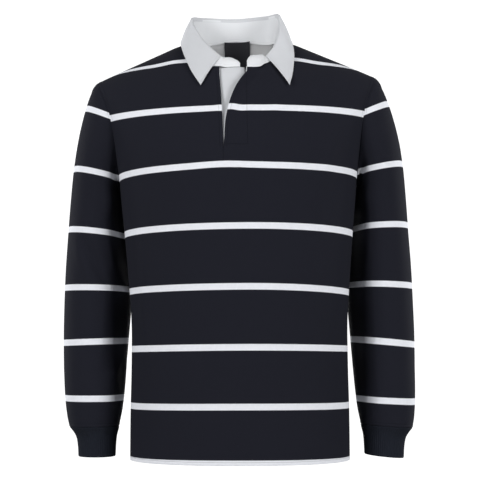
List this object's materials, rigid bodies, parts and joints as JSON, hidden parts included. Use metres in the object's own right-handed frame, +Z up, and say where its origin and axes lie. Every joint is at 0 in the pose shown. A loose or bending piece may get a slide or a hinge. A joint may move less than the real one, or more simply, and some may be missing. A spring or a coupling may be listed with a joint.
{
  "type": "rugby shirt",
  "caption": "Long-sleeved striped rugby shirt, filled out and hollow, with an open white collar, concealed neck placket and ribbed cuffs.",
  "frame": {"origin": "at the base of the neck, midway between the shoulders, where a wearer's shoulders hold it up", "axes": "+Z up, -Y towards the front of the shirt, +X towards the wearer's left; the shirt hangs along -Z"},
  "size_m": [0.6414, 0.2624, 0.817],
  "materials": {
    "body_front": "cotton jersey, navy with white stripes",
    "body_back": "cotton jersey, navy with white stripes",
    "sleeve_right": "cotton jersey, navy with white stripes",
    "sleeve_left": "cotton jersey, navy with white stripes",
    "cuff_right": "navy ribbed knit",
    "cuff_left": "navy ribbed knit",
    "collar_stand": "white cotton twill",
    "collar_fall": "white cotton twill",
    "placket_under": "white cotton twill",
    "placket_facing": "white cotton twill",
    "neck_patch": "white cotton twill",
    "neck_label": "dark grey woven tape"
  },
  "bodies": {
    "root": {"body_front": "body_front", "body_back": "body_back", "sleeve_right": "sleeve_right", "sleeve_left": "sleeve_left", "cuff_right": "cuff_right", "cuff_left": "cuff_left", "collar_stand": "collar_stand", "collar_fall": "collar_fall", "placket_under": "placket_under", "placket_facing": "placket_facing", "neck_patch": "neck_patch", "neck_label": "neck_label"}
  },
  "joints": []
}
